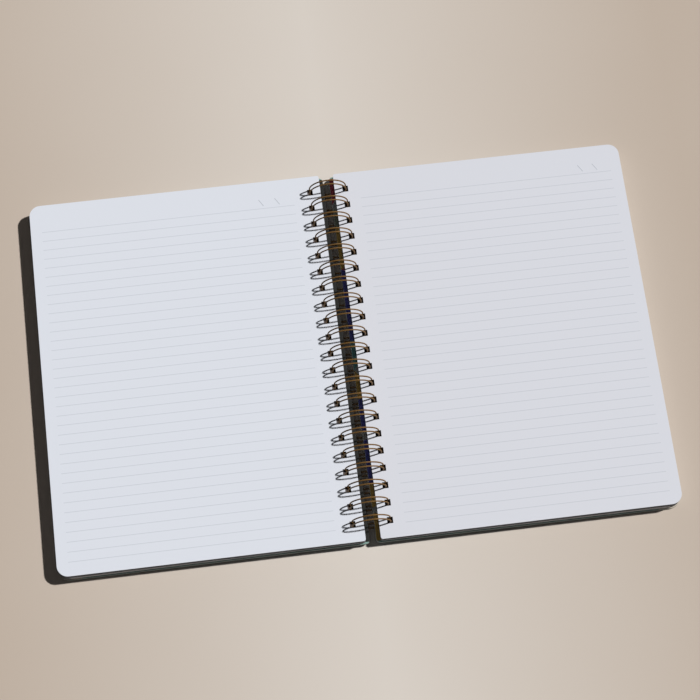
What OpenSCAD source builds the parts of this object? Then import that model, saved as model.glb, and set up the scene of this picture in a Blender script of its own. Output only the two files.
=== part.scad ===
// Open spiral notebook of letter size, lying open on a table near its middle.
// Two stacks of ruled sheets, a front and a back board, and one twin-loop wire.
// Millimetres, Z up. The origin is on the table under the middle of the wire,
// the heads of the pages point to +Y and the left half lies towards -X.

/* [Sheets] */
// Width of one sheet, from its spine edge to its fore-edge
page_w = 215.9; // [190:0.1:240]
// Height of one sheet, from head to foot
page_h = 279.4; // [250:0.1:310]
// Thickness of each open stack where the wire holds it
stack_t = 6.9; // [5.5:0.1:7.6]
// How far the open pages lie below the middle of the wire loops
page_drop = 2.4; // [1.2:0.1:4]
// Radius of the sheet corners at the fore-edge
fore_corner_r = 8; // [4:0.5:12]
// Radius of the sheet corners at the spine
spine_corner_r = 1.5; // [0.5:0.5:4]
// Paper between the spine edge and the punched holes
page_margin = 5.85; // [4.5:0.05:7]
// Width of a punched hole, across the spine
hole_w = 4.2; // [3.8:0.1:5]
// Distance from the head or foot of a sheet to the nearest hole centre
end_margin = 12.7; // [10:0.1:16]

/* [Boards] */
// Thickness of the front and back boards
board_t = 2; // [1.2:0.1:2.6]
// How far the boards reach past the sheets at head, foot and fore-edge
board_reach = 0.8; // [0.5:0.1:4]
// Board between its spine edge and its holes
board_margin = 3.4; // [2.5:0.1:4]
// Radius of the board corners at the spine
board_corner_r = 3; // [1:0.5:5]

/* [Twin-loop wire] */
// Outer diameter of the closed loops, which must leave room below the pages for the stack and board
loop_d = 28; // [26:0.1:32]
// Thickness of the wire
wire_d = 1; // [0.8:0.05:1.2]
// Distance from one double loop to the next
loop_pitch = 12.7; // [11:0.1:15]
// Distance between the two legs of a double loop, centre to centre
leg_gap = 3; // [2.6:0.1:3.4]
// Bend radius where the legs turn into the back line of the wire
bend_r = 1.5; // [1.2:0.1:1.8]
// Where the back line lies on the loops, in degrees from the lowest point
seam_angle = 20; // [18:0.5:22]
// Air between the nested loop tips and the back line
seam_gap = 0.3; // [0.2:0.05:0.6]

/* [Fits] */
// Air on each side of the wire in the punched holes
wire_gap = 0.3; // [0.2:0.05:0.5]
// Air between a board's hinge line and the spine face of its stack
hinge_gap = 0.2; // [0.1:0.05:0.4]
// Air between a stack and the board that carries it
stack_gap = 0.02; // [0.01:0.01:0.1]

/* [Hidden] */
$fn = 64;
wire_fn = 24;
cut_over = 1;

// The loops stand on the table, so their middle is half a loop up.
loop_r = (loop_d - wire_d) / 2;
loop_z = loop_d / 2;
loop_count = floor((page_h - 2 * end_margin) / loop_pitch + 0.001) + 1;
loop_y = [for (i = [0:loop_count - 1]) (i - (loop_count - 1) / 2) * loop_pitch];
hole_l = leg_gap + wire_d + 2 * wire_gap;

// Distance from the middle plane at which a circle round the loops' middle has height z
function circle_x(r, z) = sqrt(max(r * r - (loop_z - z) * (loop_z - z), 0.01));

// The open page and the spine edge of the sheets
page_z = loop_z - page_drop;
page_hole_x = circle_x(loop_r, page_z);
page_edge_x = page_hole_x - hole_w / 2 - page_margin;
page_out_x = page_edge_x + page_w;

// Each board hinges on a line just inside its stack's lower spine edge.
// It slopes from there to the table, where its outer edge rests.
hinge_x = page_edge_x - hinge_gap;
hinge_z = page_z - stack_t - stack_gap;
board_l = page_out_x + board_reach - hinge_x;
board_tilt = asin(hinge_z / sqrt(board_l * board_l + board_t * board_t)) - atan(board_t / board_l);
board_h = page_h + 2 * board_reach;
board_hole_in = circle_x(loop_r - wire_d / 2 - wire_gap, hinge_z - board_t);
board_hole_out = circle_x(loop_r + wire_d / 2 + wire_gap, hinge_z);
board_edge_x = board_hole_in - board_margin;

// The lower face of a stack follows its board, and its holes lean along the loops.
function stack_z(x) = hinge_z + stack_gap - (x - hinge_x) * tan(board_tilt);
low_hole_x = circle_x(loop_r, stack_z(page_edge_x));
hole_lean = (page_hole_x - low_hole_x) / (page_z - stack_z(page_edge_x));

// The loop tips stop short of the bends of the back line by one wire and the seam gap.
tip_r = leg_gap / 2;
tip_reach = tip_r + bend_r + wire_d + seam_gap;
tip_back = sqrt(tip_reach * tip_reach - (tip_r + bend_r) * (tip_r + bend_r));
tip_angle = seam_angle - tip_back / loop_r * 180 / PI;
line_end = 1.5;

// The tight bends are drawn a touch thinner, and they reach a little way into the wire at both ends.
bend_d = wire_d * 0.92;
bend_reach = 4;

// Outline of a sheet or board from x0 to x1, with its spine corners and fore-edge corners rounded
module leaf_outline(x0, x1, h, spine_r, fore_r) {
  translate([x0, fore_r - h / 2]) square([x1 - x0, h - 2 * fore_r]);
  translate([x0, spine_r - h / 2]) square([x1 - fore_r - x0, h - 2 * spine_r]);
  translate([x0 + spine_r, -h / 2]) square([x1 - fore_r - x0 - spine_r, h]);
  for (side = [-1, 1]) {
    translate([x0 + spine_r, side * (h / 2 - spine_r)]) circle(spine_r);
    translate([x1 - fore_r, side * (h / 2 - fore_r)]) circle(fore_r);
  }
}

// One punched hole through a stack, leaning inward as the sheets follow the loops
module leaning_hole() {
  top = page_z + cut_over;
  low = stack_z(page_edge_x) - cut_over;
  top_x = page_hole_x + cut_over * hole_lean;
  low_x = low_hole_x - cut_over * hole_lean;
  rotate([90, 0, 0])
    linear_extrude(hole_l, center = true)
      polygon([
        [low_x - hole_w / 2, low],
        [low_x + hole_w / 2, low],
        [top_x + hole_w / 2, top],
        [top_x - hole_w / 2, top]
      ]);
}

// A stack of sheets on the right, thicker where the sheets lie looser at the fore-edge
module stack() {
  difference() {
    linear_extrude(page_z)
      leaf_outline(page_edge_x, page_out_x, page_h, spine_corner_r, fore_corner_r);
    translate([hinge_x, 0, hinge_z + stack_gap])
      rotate([0, board_tilt, 0])
        translate([-cut_over, -board_h / 2, -page_z])
          cube([board_l + 2 * cut_over, board_h, page_z]);
    for (y = loop_y) translate([0, y, 0]) leaning_hole();
  }
}

// A board on the right, drawn flat from its hinge line and then laid down to the table
module board() {
  translate([hinge_x, 0, hinge_z])
    rotate([0, board_tilt, 0])
      translate([-hinge_x, 0, -board_t])
        difference() {
          linear_extrude(board_t)
            leaf_outline(board_edge_x, hinge_x + board_l, board_h,
              board_corner_r, fore_corner_r + board_reach);
          for (y = loop_y)
            translate([board_hole_in, y - hole_l / 2, -cut_over])
              cube([board_hole_out - board_hole_in, hole_l, board_t + 2 * cut_over]);
        }
}

// Moves a piece to the loops at an angle from their lowest point, +X along the loop
module on_loop(angle) {
  translate([loop_r * sin(angle), 0, loop_z - loop_r * cos(angle)])
    rotate([0, -angle, 0])
      children();
}

// A tight bend of radius r, in the flat, from one angle through a turn
module wire_bend(r, from, turn) {
  rotate([0, 0, from - bend_reach])
    rotate_extrude(angle = turn + 2 * bend_reach)
      translate([r, 0]) circle(d = bend_d, $fn = wire_fn);
}

// One leg, from the back line all the way round to the loop's tip
module leg(y) {
  translate([0, y, loop_z])
    rotate([90, 0, 0])
      rotate([0, 0, seam_angle - 90])
        rotate_extrude(angle = 360 + tip_angle - seam_angle)
          translate([loop_r, 0]) circle(d = wire_d, $fn = wire_fn);
}

// A straight length of the back line, along +Y
module back_line(y, l) {
  translate([-bend_r, y, 0])
    rotate([-90, 0, 0])
      cylinder(h = l, d = wire_d, $fn = wire_fn);
}

// One double loop: two legs round the spine, joined by a round tip
module double_loop() {
  leg(-leg_gap / 2);
  leg(leg_gap / 2);
  on_loop(tip_angle) wire_bend(tip_r, -90, 180);
  on_loop(seam_angle)
    for (side = [-1, 1])
      translate([0, side * (leg_gap / 2 + bend_r), 0])
        wire_bend(bend_r, side > 0 ? 180 : 90, 90);
}

module binding_wire() {
  line_l = loop_pitch - leg_gap - 2 * bend_r;
  first_y = loop_y[0] - leg_gap / 2 - bend_r - line_end;
  last_y = loop_y[loop_count - 1] + leg_gap / 2 + bend_r;
  color("goldenrod")
    union() {
      for (y = loop_y) translate([0, y, 0]) double_loop();
      for (i = [0:loop_count - 2])
        on_loop(seam_angle) back_line(loop_y[i] + leg_gap / 2 + bend_r, line_l);
      on_loop(seam_angle) back_line(first_y, line_end);
      on_loop(seam_angle) back_line(last_y, line_end);
    }
}

module right_pages() {
  color("ghostwhite") stack();
}

module left_pages() {
  color("ghostwhite") mirror([1, 0, 0]) stack();
}

module back_cover() {
  color("slategray") board();
}

module front_cover() {
  color("slategray") mirror([1, 0, 0]) board();
}

front_cover();
left_pages();
right_pages();
back_cover();
binding_wire();
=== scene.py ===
import bpy
import random
from math import asin, atan, cos, pi, radians, sin, sqrt, tan
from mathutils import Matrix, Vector


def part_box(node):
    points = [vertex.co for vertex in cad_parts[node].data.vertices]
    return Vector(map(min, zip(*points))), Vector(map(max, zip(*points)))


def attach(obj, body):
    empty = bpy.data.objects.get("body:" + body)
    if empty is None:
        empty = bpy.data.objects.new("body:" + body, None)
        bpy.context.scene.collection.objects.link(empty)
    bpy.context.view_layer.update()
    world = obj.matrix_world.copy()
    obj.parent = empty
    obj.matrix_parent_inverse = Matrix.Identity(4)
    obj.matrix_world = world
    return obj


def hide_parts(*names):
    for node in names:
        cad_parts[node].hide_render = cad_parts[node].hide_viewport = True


# Dresses the open notebook: two stacks of ruled sheets, two printed boards and a gold twin-loop wire.

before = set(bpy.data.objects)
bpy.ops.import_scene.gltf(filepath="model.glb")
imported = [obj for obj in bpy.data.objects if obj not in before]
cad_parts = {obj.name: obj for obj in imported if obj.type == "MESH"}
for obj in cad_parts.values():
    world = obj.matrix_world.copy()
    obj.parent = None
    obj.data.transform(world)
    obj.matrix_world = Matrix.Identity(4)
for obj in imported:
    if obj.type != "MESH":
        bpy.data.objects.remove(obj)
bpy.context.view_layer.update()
print("frame loaded")

mm = 0.001
touch = 0.01  # millimetres within which two places count as one
overshoot = 1  # millimetres that a punch reaches past what it cuts

# the notebook's driving sizes, in millimetres, as the solids have them
notebook = dict(pageHeight=279.4, pageDrop=2.4, stackAtSpine=6.9, loopDiameter=28, wireDiameter=1,
                loopPitch=12.7, loopCount=21, legGap=3, bendRadius=1.5, seamAngle=20, seamGap=0.3,
                boardThickness=2, boardReach=0.8, boardMargin=3.4, hingeGap=0.2, stackGap=0.02, wireGap=0.3,
                holeWidth=4.2)

halfPage = notebook["pageHeight"] / 2
loopRadius = (notebook["loopDiameter"] - notebook["wireDiameter"]) / 2
loopHeight = notebook["loopDiameter"] / 2
pageLevel = loopHeight - notebook["pageDrop"]
holeLength = notebook["legGap"] + notebook["wireDiameter"] + 2 * notebook["wireGap"]
loopPlaces = [(i - (notebook["loopCount"] - 1) / 2) * notebook["loopPitch"]
              for i in range(notebook["loopCount"])]


def loopReach(radius, height):  # how far a circle round the loops' middle lies from it at a height
    return sqrt(radius ** 2 - (loopHeight - height) ** 2)


rightLow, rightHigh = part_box("right_pages")
spineEdge = rightLow.x / mm
foreEdge = rightHigh.x / mm
hingeX = spineEdge - notebook["hingeGap"]
hingeZ = pageLevel - notebook["stackAtSpine"] - notebook["stackGap"]
boardLength = foreEdge + notebook["boardReach"] - hingeX
boardSlope = (asin(hingeZ / sqrt(boardLength ** 2 + notebook["boardThickness"] ** 2))
              - atan(notebook["boardThickness"] / boardLength))
topHoleX = loopReach(loopRadius, pageLevel)
lowHoleX = loopReach(loopRadius, hingeZ)


def freshStart():  # object mode, with nothing selected
    if bpy.context.object and bpy.context.object.mode != "OBJECT":
        bpy.ops.object.mode_set(mode="OBJECT")
    bpy.ops.object.select_all(action="DESELECT")


def pickPiece(piece):  # selects this piece alone
    freshStart()
    piece.select_set(True)
    bpy.context.view_layer.objects.active = piece


def editAll(piece):  # edit mode, with the whole piece selected
    pickPiece(piece)
    bpy.ops.object.mode_set(mode="EDIT")
    bpy.ops.mesh.select_all(action="SELECT")


def newPiece(name):  # names the object that was just added
    piece = bpy.context.object
    piece.name = name
    piece.data.name = name
    return piece


def pickNothing(piece, kind):  # ready to select edges or faces
    bpy.ops.object.mode_set(mode="OBJECT")
    bpy.context.tool_settings.mesh_select_mode = (False, kind == "edge", kind == "face")
    for part in (piece.data.vertices, piece.data.edges, piece.data.polygons):
        part.foreach_set("select", [False] * len(part))


def pickFaces(piece, test):  # selects in edit mode the faces that pass the test
    pickNothing(piece, "face")
    for face in piece.data.polygons:
        face.select = test(face)
    bpy.ops.object.mode_set(mode="EDIT")


def pickEdges(piece, test):  # the same for edges, by their two ends
    pickNothing(piece, "edge")
    corners = piece.data.vertices
    for edge in piece.data.edges:
        edge.select = test(corners[edge.vertices[0]].co, corners[edge.vertices[1]].co)
    bpy.ops.object.mode_set(mode="EDIT")


def useModifier(piece, kind, **values):  # adds a modifier and applies it
    bpy.context.view_layer.objects.active = piece
    modifier = piece.modifiers.new(kind.title(), kind)
    for key, value in values.items():
        setattr(modifier, key, value)
    bpy.ops.object.modifier_apply(modifier=modifier.name)


def placeAtOrigin(piece):
    pickPiece(piece)
    bpy.ops.object.transform_apply(location=True, rotation=True, scale=True)


def slab(name, low, high):  # a block between two corners, in millimetres
    freshStart()
    middle = [(a + b) / 2 * mm for a, b in zip(low, high)]
    bpy.ops.mesh.primitive_cube_add(size=1, location=middle)
    piece = newPiece(name)
    piece.scale = [(b - a) * mm for a, b in zip(low, high)]
    placeAtOrigin(piece)
    return piece


def roundCorners(piece, edgeX, radius, steps):  # rounds the upright edges that stand at one x
    pickEdges(piece, lambda a, b: abs(a.z - b.z) > touch * mm
              and all(abs(end.x / mm - edgeX) < touch for end in (a, b)))
    bpy.ops.mesh.bevel(offset=radius * mm, segments=steps, affect="EDGES")
    bpy.ops.object.mode_set(mode="OBJECT")


def punchRow(piece, lowX, highX, width, low, high):  # one hole for each double loop, leaning from low to high
    lean = overshoot * (highX - lowX) / (high - low)
    lowX, highX, low, high = lowX - lean, highX + lean, low - overshoot, high + overshoot
    half = holeLength / 2
    cutter = None
    for place in loopPlaces:
        block = slab("punch", (lowX - width / 2, place - half, low), (lowX + width / 2, place + half, high))
        pickFaces(block, lambda face: face.normal.z > 0.9)
        bpy.ops.transform.translate(value=((highX - lowX) * mm, 0, 0))
        bpy.ops.object.mode_set(mode="OBJECT")
        if cutter:
            pickPiece(cutter)
            block.select_set(True)
            bpy.ops.object.join()
        else:
            cutter = block
    useModifier(piece, "BOOLEAN", operation="DIFFERENCE", object=cutter, solver="EXACT")
    bpy.data.objects.remove(cutter)


def mirrorPiece(piece, name):  # the same piece for the left half
    freshStart()
    twin = piece.copy()
    twin.data = piece.data.copy()
    bpy.context.scene.collection.objects.link(twin)
    twin.name = name
    twin.data.name = name
    twin.scale.x = -1
    placeAtOrigin(twin)
    editAll(twin)
    bpy.ops.mesh.normals_make_consistent(inside=False)
    bpy.ops.object.mode_set(mode="OBJECT")
    return twin


def makeMaterial(name, look):  # a material, its nodes and its shader
    material = bpy.data.materials.new(name)
    material.use_nodes = True
    shader = material.node_tree.nodes["Principled BSDF"]
    shader.inputs["Roughness"].default_value = look["roughness"]
    shader.inputs["Specular IOR Level"].default_value = look["gloss"]
    return material, material.node_tree, shader


def addNode(tree, kind, **values):
    node = tree.nodes.new(kind)
    for key, value in values.items():
        setattr(node, key, value)
    return node


def mathNode(tree, operation, first, second=0.0):
    node = addNode(tree, "ShaderNodeMath", operation=operation)
    for socket, value in zip(node.inputs, (first, second)):
        if isinstance(value, (int, float)):
            socket.default_value = value
        else:
            tree.links.new(value, socket)
    return node.outputs[0]


def smoothBand(tree, value, halfWidth, blur):  # 1 where the value is within the half width of nought
    away = mathNode(tree, "ABSOLUTE", value)
    ramp = addNode(tree, "ShaderNodeMapRange", interpolation_type="SMOOTHSTEP")
    tree.links.new(away, ramp.inputs["Value"])
    ramp.inputs["From Min"].default_value = halfWidth + blur
    ramp.inputs["From Max"].default_value = max(halfWidth - blur, 0)
    return ramp.outputs["Result"]


def mixColour(tree, factor, first, second):
    node = addNode(tree, "ShaderNodeMix", data_type="RGBA")
    for socket, value in ((node.inputs[0], factor), (node.inputs[6], first), (node.inputs[7], second)):
        if isinstance(value, (int, float)):
            socket.default_value = value
        elif isinstance(value, tuple):
            socket.default_value = (*value, 1)
        else:
            tree.links.new(value, socket)
    return node.outputs[2]


def objectPlace(tree):  # where a point is on the object, whole and as x, y and z
    place = addNode(tree, "ShaderNodeTexCoord")
    split = addNode(tree, "ShaderNodeSeparateXYZ")
    tree.links.new(place.outputs["Object"], split.inputs[0])
    return place, split.outputs


def addNoise(tree, place, scale, detail, stretch=(1, 1, 1)):
    turn = addNode(tree, "ShaderNodeMapping")
    turn.inputs["Scale"].default_value = stretch
    noise = addNode(tree, "ShaderNodeTexNoise")
    noise.inputs["Scale"].default_value = scale
    noise.inputs["Detail"].default_value = detail
    tree.links.new(place.outputs["Object"], turn.inputs["Vector"])
    tree.links.new(turn.outputs[0], noise.inputs["Vector"])
    return noise.outputs["Fac"]


def addBump(tree, shader, height, look):  # the look's bump strength, and its depth in millimetres
    bump = addNode(tree, "ShaderNodeBump")
    bump.inputs["Strength"].default_value = look["bump"]
    bump.inputs["Distance"].default_value = look["bumpDepth"] * mm
    tree.links.new(height, bump.inputs["Height"])
    tree.links.new(bump.outputs[0], shader.inputs["Normal"])


# sheets: sizes in millimetres, pale grey-blue rules, and two short strokes for the date over the first one
sheets = dict(foreCorner=8, spineCorner=1.5, foreSteps=12, spineSteps=5, smoothAngle=30,
              plainEnd=5, plainSpine=1, groups=24, levelChange=0.3, unevenness=(0.02, 0.16), seed=7,
              firstLine=21.4, lineSpacing=7.087, lines=36, lineWidth=0.4, blur=0.14,
              spineMargin=dict(left=20.3, right=18.6), outerMargin=8.2,
              strokesFromOuterEdge=dict(left=(182.9, 170.9), right=(20.0, 31.0)),
              strokeRise=5.2, strokeRun=3.2, strokeAboveLine=2.0, strokeWidth=0.46,
              ink=(0.38, 0.42, 0.48), lineCover=0.45, strokeCover=0.8,
              # the right sheets' colour is darker than the left's: painted shade for light falling off towards the
              # right
              paperShadedToRight=dict(left=(0.71, 0.745, 0.83), right=(0.68, 0.70, 0.775)), cloudScale=14, cloudCover=0.06,
              edgeDark=(0.38, 0.39, 0.41), edgeLight=(0.66, 0.68, 0.72), layerScale=(30, 30, 9000),
              # paintedHoleShade, holeRim, holeSide and holeBlur set the painted shade inside the punched holes
              paintedHoleShade=(0.08, 0.065, 0.062), holeRim=0.15, holeSide=0.2, holeBlur=0.05, topSkin=0.03,
              roughness=0.85, gloss=0.25, fibreScale=2200, fibreHeight=0.15, bump=0.35, bumpDepth=0.1)


def makePaper(side):
    material, tree, shader = makeMaterial("ruledPaper" + side.title(), sheets)
    place, (x, y, z) = objectPlace(tree)
    sign = 1 if side == "right" else -1
    across = mathNode(tree, "MULTIPLY", x, 1 / mm)
    fromSpine = mathNode(tree, "MULTIPLY", x, sign / mm)  # millimetres from the middle of the wire
    fromMiddle = mathNode(tree, "MULTIPLY", y, 1 / mm)
    level = mathNode(tree, "MULTIPLY", z, 1 / mm)
    onTop = mathNode(tree, "GREATER_THAN", level, pageLevel - sheets["topSkin"])

    # rules: the distance to the nearest one, counted down from the first
    down = mathNode(tree, "SUBTRACT", halfPage - sheets["firstLine"], fromMiddle)
    count = mathNode(tree, "DIVIDE", down, sheets["lineSpacing"])
    nearest = mathNode(tree, "ROUND", count)
    nearest = mathNode(tree, "MINIMUM", mathNode(tree, "MAXIMUM", nearest, 0), sheets["lines"] - 1)
    miss = mathNode(tree, "MULTIPLY", mathNode(tree, "SUBTRACT", count, nearest), sheets["lineSpacing"])
    rules = smoothBand(tree, miss, sheets["lineWidth"] / 2, sheets["blur"])
    ruleStart = spineEdge + sheets["spineMargin"][side]
    ruleEnd = foreEdge - sheets["outerMargin"]
    inside = mathNode(tree, "SUBTRACT", fromSpine, (ruleStart + ruleEnd) / 2)
    rules = mathNode(tree, "MULTIPLY", rules, smoothBand(tree, inside, (ruleEnd - ruleStart) / 2, sheets["blur"]))
    rules = mathNode(tree, "MULTIPLY", rules, sheets["lineCover"])

    # two short slanting strokes
    marks = 0.0
    slope = Vector((sheets["strokeRun"], -sheets["strokeRise"]))
    along = slope.normalized()
    strokeY = halfPage - sheets["firstLine"] + sheets["strokeAboveLine"] + sheets["strokeRise"] / 2
    for reach in sheets["strokesFromOuterEdge"][side]:
        awayX = mathNode(tree, "SUBTRACT", across, sign * (foreEdge - reach))
        awayY = mathNode(tree, "SUBTRACT", fromMiddle, strokeY)
        offLine = mathNode(tree, "ADD", mathNode(tree, "MULTIPLY", awayX, -along.y),
                           mathNode(tree, "MULTIPLY", awayY, along.x))
        onLine = mathNode(tree, "ADD", mathNode(tree, "MULTIPLY", awayX, along.x),
                          mathNode(tree, "MULTIPLY", awayY, along.y))
        stroke = mathNode(tree, "MULTIPLY", smoothBand(tree, offLine, sheets["strokeWidth"] / 2, sheets["blur"]),
                          smoothBand(tree, onLine, slope.length / 2, sheets["blur"]))
        marks = mathNode(tree, "MAXIMUM", stroke, marks)
    marks = mathNode(tree, "MULTIPLY", marks, sheets["strokeCover"])
    ink = mathNode(tree, "MULTIPLY", mathNode(tree, "MAXIMUM", rules, marks), onTop)

    # the open page, and the sheets seen edge on
    cloudy = mathNode(tree, "MULTIPLY", addNoise(tree, place, sheets["cloudScale"], 3), sheets["cloudCover"])
    # the right page's base colour carries painted shade
    page = mixColour(tree, cloudy, sheets["paperShadedToRight"][side], sheets["edgeLight"])
    layers = addNoise(tree, place, 1, 2, sheets["layerScale"])
    edges = mixColour(tree, layers, sheets["edgeDark"], sheets["edgeLight"])
    colour = mixColour(tree, onTop, edges, page)

    # painted shade on the walls of the punched holes, below their rims
    offHoles = mathNode(tree, "SUBTRACT", fromSpine, (topHoleX + lowHoleX) / 2)
    halfRow = (topHoleX - lowHoleX) / 2 + notebook["holeWidth"] / 2 + sheets["holeSide"]
    nearHoles = smoothBand(tree, offHoles, halfRow, sheets["holeBlur"])
    inRow = mathNode(tree, "LESS_THAN", mathNode(tree, "ABSOLUTE", fromMiddle), halfPage - sheets["plainEnd"])
    below = mathNode(tree, "LESS_THAN", level, pageLevel - sheets["holeRim"])
    paintedHoleShadeMask = mathNode(tree, "MULTIPLY", mathNode(tree, "MULTIPLY", nearHoles, inRow), below)
    # the holes' walls get a near-black colour: painted shade, not the sheets' own colour
    colour = mixColour(tree, paintedHoleShadeMask, colour, sheets["paintedHoleShade"])
    tree.links.new(mixColour(tree, ink, colour, sheets["ink"]), shader.inputs["Base Color"])

    fibres = mathNode(tree, "MULTIPLY", addNoise(tree, place, sheets["fibreScale"], 3), sheets["fibreHeight"])
    edgeGrain = mathNode(tree, "MULTIPLY", layers, mathNode(tree, "SUBTRACT", 1.0, onTop))
    addBump(tree, shader, mathNode(tree, "ADD", fibres, edgeGrain), sheets)
    return material


def makeStack():
    piece = slab("rightSheets", (spineEdge, -halfPage, 0), (foreEdge, halfPage, pageLevel))
    roundCorners(piece, foreEdge, sheets["foreCorner"], sheets["foreSteps"])
    roundCorners(piece, spineEdge, sheets["spineCorner"], sheets["spineSteps"])

    # the lower face follows the board
    editAll(piece)
    bpy.ops.mesh.bisect(plane_co=(hingeX * mm, 0, (hingeZ + notebook["stackGap"]) * mm),
                        plane_no=(-sin(boardSlope), 0, -cos(boardSlope)), clear_outer=True, use_fill=True)
    bpy.ops.object.mode_set(mode="OBJECT")

    # the holes are punched while the block is plain, and lean as the sheets follow the loops
    punchRow(piece, lowHoleX, topHoleX, notebook["holeWidth"], hingeZ, pageLevel)

    # groups of sheets stand a little in or out at the outer edges
    def isOuterEdge(face, low, high):  # not a hole's wall, and off the lower face
        x, y, z = face.center / mm
        byHoles = (spineEdge + sheets["plainSpine"] < x < topHoleX + notebook["holeWidth"]
                   and abs(y) < halfPage - sheets["plainEnd"])
        if byHoles or abs(face.normal.z) > 0.5 or not low < z < high:
            return False
        corners = [piece.data.vertices[i].co / mm for i in face.vertices]
        return all(c.z > hingeZ + notebook["stackGap"] - (c.x - hingeX) * tan(boardSlope) + touch for c in corners)

    chance = random.Random(sheets["seed"])
    change = sheets["levelChange"]
    levels = [pageLevel * (i + chance.uniform(-change, change)) / sheets["groups"]
              for i in range(1, sheets["groups"])]
    editAll(piece)
    for level in levels:
        bpy.ops.mesh.select_all(action="SELECT")
        bpy.ops.mesh.bisect(plane_co=(0, 0, level * mm), plane_no=(0, 0, 1))
    for low, high in zip(levels, levels[1:]):
        pickFaces(piece, lambda face: isOuterEdge(face, low, high))
        depth = chance.uniform(*sheets["unevenness"])
        bpy.ops.mesh.extrude_region_shrink_fatten(TRANSFORM_OT_shrink_fatten=dict(value=-depth * mm))
    bpy.ops.object.mode_set(mode="OBJECT")
    return piece


# boards: their printed inner side has loose fields of colour inside plain margins, and painted shade along the
# left board's spine
boards = dict(foreCorner=8.8, spineCorner=3, foreSteps=12, spineSteps=6,
              edgeRound=0.35, edgeSteps=2, edgeAngle=50, smoothAngle=20, faceOn=0.8,
              core=(0.33, 0.37, 0.36), outside=((0.075, 0.135, 0.155), (0.125, 0.205, 0.225)), mottleScale=70,
              fields=((0.0, (0.36, 0.36, 0.35)), (0.17, (0.44, 0.29, 0.08)), (0.34, (0.08, 0.08, 0.30)),
                      (0.5, (0.12, 0.28, 0.27)), (0.66, (0.34, 0.06, 0.09)), (0.83, (0.20, 0.22, 0.17))),
              fieldSize=24, wander=11, wanderScale=45,
              foreMargin=16, foreColour=(0.50, 0.44, 0.37), endMargin=0.6, endColour=(0.20, 0.33, 0.30),
              # near-black painted shade along the left board's spine, where the gap between the halves lies in
              # shade
              leftSpineShadeWidth=10, leftSpinePaintedShade=(0.012, 0.011, 0.01),
              roughness=0.65, gloss=0.1, grainScale=900, grainCover=0.05, bump=0.15, bumpDepth=0.1)


def makeBoard():
    half = halfPage + notebook["boardReach"]
    air = notebook["wireDiameter"] / 2 + notebook["wireGap"]
    underside = hingeZ - notebook["boardThickness"]
    slotIn = loopReach(loopRadius - air, underside)
    slotOut = loopReach(loopRadius + air, hingeZ)
    outer = hingeX + boardLength
    inner = slotIn - notebook["boardMargin"]
    piece = slab("backBoard", (inner, -half, underside), (outer, half, hingeZ))
    roundCorners(piece, outer, boards["foreCorner"], boards["foreSteps"])
    roundCorners(piece, inner, boards["spineCorner"], boards["spineSteps"])
    slotMiddle = (slotIn + slotOut) / 2
    punchRow(piece, slotMiddle, slotMiddle, slotOut - slotIn, underside, hingeZ)
    useModifier(piece, "BEVEL", width=boards["edgeRound"] * mm, segments=boards["edgeSteps"],
                limit_method="ANGLE", angle_limit=radians(boards["edgeAngle"]))
    editAll(piece)
    bpy.ops.transform.rotate(value=-boardSlope, orient_axis="Y", orient_type="GLOBAL",
                             center_override=(hingeX * mm, 0, hingeZ * mm))
    bpy.ops.object.mode_set(mode="OBJECT")
    print("board lies from", round(min(v.co.z for v in piece.data.vertices) / mm, 3), "mm above the table")
    return piece


def makeFieldPrint(tree, place):  # loose painted fields of colour
    wander = addNode(tree, "ShaderNodeTexNoise")
    wander.inputs["Scale"].default_value = boards["wanderScale"]
    wander.inputs["Detail"].default_value = 3
    tree.links.new(place.outputs["Object"], wander.inputs["Vector"])
    shift = addNode(tree, "ShaderNodeVectorMath", operation="MULTIPLY_ADD")
    shift.inputs[1].default_value = (boards["wander"] * mm,) * 3
    tree.links.new(wander.outputs["Color"], shift.inputs[0])
    tree.links.new(place.outputs["Object"], shift.inputs[2])
    fields = addNode(tree, "ShaderNodeTexVoronoi")
    fields.inputs["Scale"].default_value = 1 / (boards["fieldSize"] * mm)
    tree.links.new(shift.outputs[0], fields.inputs["Vector"])
    pick = addNode(tree, "ShaderNodeSeparateColor")
    tree.links.new(fields.outputs["Color"], pick.inputs[0])
    ramp = addNode(tree, "ShaderNodeValToRGB")
    ramp.color_ramp.interpolation = "CONSTANT"
    while len(ramp.color_ramp.elements) < len(boards["fields"]):
        ramp.color_ramp.elements.new(0.5)
    for stop, (position, colour) in zip(ramp.color_ramp.elements, boards["fields"]):
        stop.position = position
        stop.color = (*colour, 1)
    tree.links.new(pick.outputs[0], ramp.inputs[0])
    return ramp.outputs["Color"]


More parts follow.
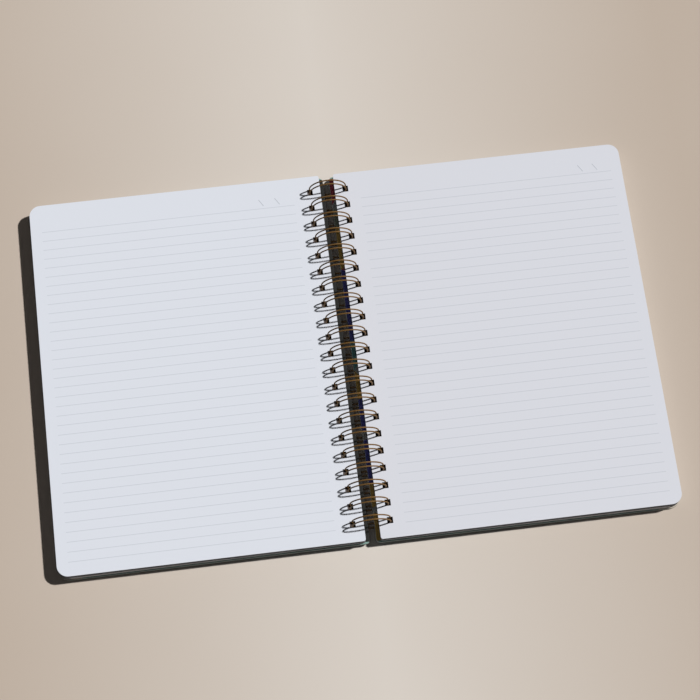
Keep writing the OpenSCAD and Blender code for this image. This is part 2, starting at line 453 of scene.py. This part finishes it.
def makeBoardLook():
    material, tree, shader = makeMaterial("printedBoard", boards)
    place, (x, y, z) = objectPlace(tree)
    facing = addNode(tree, "ShaderNodeSeparateXYZ")
    tree.links.new(place.outputs["Normal"], facing.inputs[0])
    inward = mathNode(tree, "GREATER_THAN", facing.outputs[2], boards["faceOn"])
    outward = mathNode(tree, "LESS_THAN", facing.outputs[2], -boards["faceOn"])

    # plain margins: green at head and foot, sand at the fore-edge; along the left board's spine a near-black band
    # of painted shade
    endStrip = mathNode(tree, "GREATER_THAN", mathNode(tree, "ABSOLUTE", y), (halfPage - boards["endMargin"]) * mm)
    foreStart = (foreEdge - boards["foreMargin"]) * mm
    foreStrip = mathNode(tree, "GREATER_THAN", mathNode(tree, "ABSOLUTE", x), foreStart)
    halfStrip = boards["leftSpineShadeWidth"] / 2 * mm
    paintedSpineShade = mathNode(tree, "COMPARE", x, -halfStrip)
    paintedSpineShade.node.inputs[2].default_value = halfStrip
    paintedSpineShade = mathNode(tree, "MULTIPLY", paintedSpineShade, mathNode(tree, "SUBTRACT", 1.0, endStrip))

    innerSide = mixColour(tree, endStrip, makeFieldPrint(tree, place), boards["endColour"])
    innerSide = mixColour(tree, foreStrip, innerSide, boards["foreColour"])
    outerSide = mixColour(tree, addNoise(tree, place, boards["mottleScale"], 8), *boards["outside"])
    colour = mixColour(tree, inward, boards["core"], innerSide)
    # the left board's spine edge gets painted shade on its top and edges, not print
    colour = mixColour(tree, paintedSpineShade, colour, boards["leftSpinePaintedShade"])
    colour = mixColour(tree, outward, colour, outerSide)
    grain = addNoise(tree, place, boards["grainScale"], 4)
    colour = mixColour(tree, mathNode(tree, "MULTIPLY", grain, boards["grainCover"]), colour, boards["core"])
    tree.links.new(colour, shader.inputs["Base Color"])
    addBump(tree, shader, grain, boards)
    return material


# twin-loop wire
wire = dict(sides=12, legSteps=72, tipSteps=12, bendSteps=6, lineEnd=1.5, smoothAngle=60,
            gold=(0.19, 0.102, 0.029), deep=(0.075, 0.038, 0.012), deepCover=0.6, cloudScale=260,
            metal=0.05, gloss=0.15, roughness=0.42, drawnScale=3000, bump=0.12, bumpDepth=0.05)


def pickEnds(piece, *places):  # selects the wire's open ends at the given places along the spine
    pickEdges(piece, lambda a, b: abs(a.y - b.y) < touch * mm
              and any(abs(a.y / mm - place) < touch for place in places))


def spinEnd(steps, angle, center, axis):  # sweeps the wire's open end round an axis, by the right-hand rule
    bpy.ops.mesh.spin(steps=steps, angle=-angle, center=center * mm, axis=axis)


def makeWire():
    seam = radians(notebook["seamAngle"])
    bend = notebook["bendRadius"]
    tip = notebook["legGap"] / 2
    reach = tip + bend + notebook["wireDiameter"] + notebook["seamGap"]
    tipAngle = seam - sqrt(reach ** 2 - (tip + bend) ** 2) / loopRadius
    onward = Vector((cos(seam), 0, sin(seam)))
    seamPoint = Vector((loopRadius * sin(seam), 0, loopHeight - loopRadius * cos(seam)))
    upFromSeam = Vector((-sin(seam), 0, cos(seam)))
    tipPoint = Vector((loopRadius * sin(tipAngle), 0, loopHeight - loopRadius * cos(tipAngle)))
    upFromTip = Vector((-sin(tipAngle), 0, cos(tipAngle)))
    middle = Vector((0, 0, loopHeight))
    across = Vector((0, 1, 0))

    # one double loop, made by pushing the wire's end along its route
    freshStart()
    start = seamPoint - onward * bend - across * (tip + bend)
    bpy.ops.mesh.primitive_circle_add(vertices=wire["sides"], radius=notebook["wireDiameter"] / 2 * mm,
                                      rotation=(pi / 2, 0, 0), location=start * mm)
    loop = newPiece("doubleLoop")
    placeAtOrigin(loop)
    pickEdges(loop, lambda a, b: True)
    spinEnd(wire["bendSteps"], pi / 2, seamPoint - across * (tip + bend), -upFromSeam)
    spinEnd(wire["legSteps"], 2 * pi - (seam - tipAngle), middle, -across)
    spinEnd(wire["tipSteps"], pi, tipPoint, upFromTip)
    spinEnd(wire["legSteps"], 2 * pi - (seam - tipAngle), middle, across)
    spinEnd(wire["bendSteps"], pi / 2, seamPoint + across * (tip + bend), -upFromSeam)
    bpy.ops.object.mode_set(mode="OBJECT")

    # a copy at each place, joined by the straight lengths between them
    for place in loopPlaces:
        turn = loop.copy()
        turn.data = loop.data.copy()
        turn.location = across * place * mm
        bpy.context.scene.collection.objects.link(turn)
        turn.select_set(True)
        bpy.context.view_layer.objects.active = turn
    bpy.data.objects.remove(loop)
    bpy.ops.object.join()
    piece = newPiece("bindingWire")
    placeAtOrigin(piece)
    for place in loopPlaces[:-1]:
        pickEnds(piece, place + tip + bend, place + notebook["loopPitch"] - tip - bend)
        bpy.ops.mesh.bridge_edge_loops()
    for place, way in ((loopPlaces[0], -1), (loopPlaces[-1], 1)):
        pickEnds(piece, place + way * (tip + bend))
        bpy.ops.mesh.extrude_region_move(TRANSFORM_OT_translate=dict(value=(0, way * wire["lineEnd"] * mm, 0)))
        bpy.ops.mesh.edge_face_add()
    bpy.ops.mesh.select_all(action="SELECT")
    bpy.ops.mesh.normals_make_consistent(inside=False)
    bpy.ops.object.mode_set(mode="OBJECT")
    return piece


def makeWireLook():
    material, tree, shader = makeMaterial("goldWire", wire)
    shader.inputs["Metallic"].default_value = wire["metal"]
    place = objectPlace(tree)[0]
    cloudy = mathNode(tree, "MULTIPLY", addNoise(tree, place, wire["cloudScale"], 4), wire["deepCover"])
    tree.links.new(mixColour(tree, cloudy, wire["gold"], wire["deep"]), shader.inputs["Base Color"])
    addBump(tree, shader, addNoise(tree, place, wire["drawnScale"], 2), wire)
    return material


# table, in metres, lighter along its middle
table = dict(size=4, middle=(0.675, 0.625, 0.58), sides=(0.515, 0.435, 0.37), fade=0.27,
             cloudScale=5, cloudChange=0.2, roughness=0.8, gloss=0.12)


def makeTable():
    freshStart()
    bpy.ops.mesh.primitive_plane_add(size=table["size"])
    floor = newPiece("tableTop")
    material, tree, shader = makeMaterial("paleTable", table)
    place, (x, y, z) = objectPlace(tree)
    away = mathNode(tree, "MULTIPLY", mathNode(tree, "ABSOLUTE", x), 1 / table["fade"])
    away = mathNode(tree, "MINIMUM", away, 1)
    cloudy = mathNode(tree, "SUBTRACT", addNoise(tree, place, table["cloudScale"], 2), 0.5)
    soft = mathNode(tree, "ADD", away, mathNode(tree, "MULTIPLY", cloudy, table["cloudChange"]))
    tree.links.new(mixColour(tree, soft, table["middle"], table["sides"]), shader.inputs["Base Color"])
    floor.data.materials.append(material)


# one soft sun from the right, and a dim room
light = dict(towards=(0.92, 0.22, 1.0), strength=4.06, softness=2.5, colour=(1.0, 0.985, 0.955),
             fill=0.055, fillColour=(0.95, 0.97, 1.0), background=(0.93, 0.92, 0.9))


def makeLight():
    lamp = bpy.data.lights.new("windowLight", "SUN")
    lamp.energy = light["strength"]
    lamp.angle = radians(light["softness"])
    lamp.color = light["colour"]
    holder = bpy.data.objects.new("windowLight", lamp)
    holder.rotation_euler = Vector(light["towards"]).to_track_quat("Z", "Y").to_euler()
    holder.location = Vector(light["towards"])
    bpy.context.scene.collection.objects.link(holder)

    world = bpy.data.worlds.new("softRoom")
    bpy.context.scene.world = world
    world.use_nodes = True
    tree = world.node_tree
    fill = tree.nodes["Background"]
    fill.inputs["Color"].default_value = (*light["fillColour"], 1)
    fill.inputs["Strength"].default_value = light["fill"]
    seen = addNode(tree, "ShaderNodeBackground")
    seen.inputs["Color"].default_value = (*light["background"], 1)
    path = addNode(tree, "ShaderNodeLightPath")
    direct = mathNode(tree, "MAXIMUM", path.outputs["Is Camera Ray"], path.outputs["Is Glossy Ray"])
    direct = mathNode(tree, "MAXIMUM", direct, path.outputs["Is Transmission Ray"])
    mix = addNode(tree, "ShaderNodeMixShader")
    tree.links.new(direct, mix.inputs[0])
    tree.links.new(fill.outputs[0], mix.inputs[1])
    tree.links.new(seen.outputs[0], mix.inputs[2])
    tree.links.new(mix.outputs[0], tree.nodes["World Output"].inputs[0])


# the photo's view, with the place in millimetres
view = dict(place=(-73.95, -404.43, 1273.42), turn=(0.31046, -0.05934, -0.1314),
            lens=94.3, sensor=36, farthest=20)


def makeCamera():
    camera = bpy.data.cameras.new("tableView")
    camera.lens = view["lens"]
    camera.sensor_width = view["sensor"]
    camera.clip_end = view["farthest"]
    holder = bpy.data.objects.new("tableView", camera)
    holder.rotation_mode = "ZXY"
    holder.location = Vector(view["place"]) * mm
    holder.rotation_euler = view["turn"]
    bpy.context.scene.collection.objects.link(holder)
    bpy.context.scene.camera = holder


def finishPiece(piece, material, body, node, smoothAngle):  # dresses a piece and lets it ride on its body
    piece.data.materials.clear()
    piece.data.materials.append(material)
    pickPiece(piece)
    bpy.ops.object.shade_smooth_by_angle(angle=radians(smoothAngle))
    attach(piece, body)
    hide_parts(node)
    print(piece.name, len(piece.data.polygons), "faces")


bpy.context.scene.view_settings.view_transform = "Standard"
makeCamera()
makeLight()
makeTable()
print("camera, light and table done")

rightSheets = makeStack()
leftSheets = mirrorPiece(rightSheets, "leftSheets")
finishPiece(rightSheets, makePaper("right"), "right_half", "right_pages", sheets["smoothAngle"])
finishPiece(leftSheets, makePaper("left"), "left_half", "left_pages", sheets["smoothAngle"])
print("sheets done")

boardMaterial = makeBoardLook()
backBoard = makeBoard()
frontBoard = mirrorPiece(backBoard, "frontBoard")
finishPiece(backBoard, boardMaterial, "back_board", "back_cover", boards["smoothAngle"])
finishPiece(frontBoard, boardMaterial, "front_board", "front_cover", boards["smoothAngle"])
print("boards done")

finishPiece(makeWire(), makeWireLook(), "right_half", "binding_wire", wire["smoothAngle"])
print("wire done")
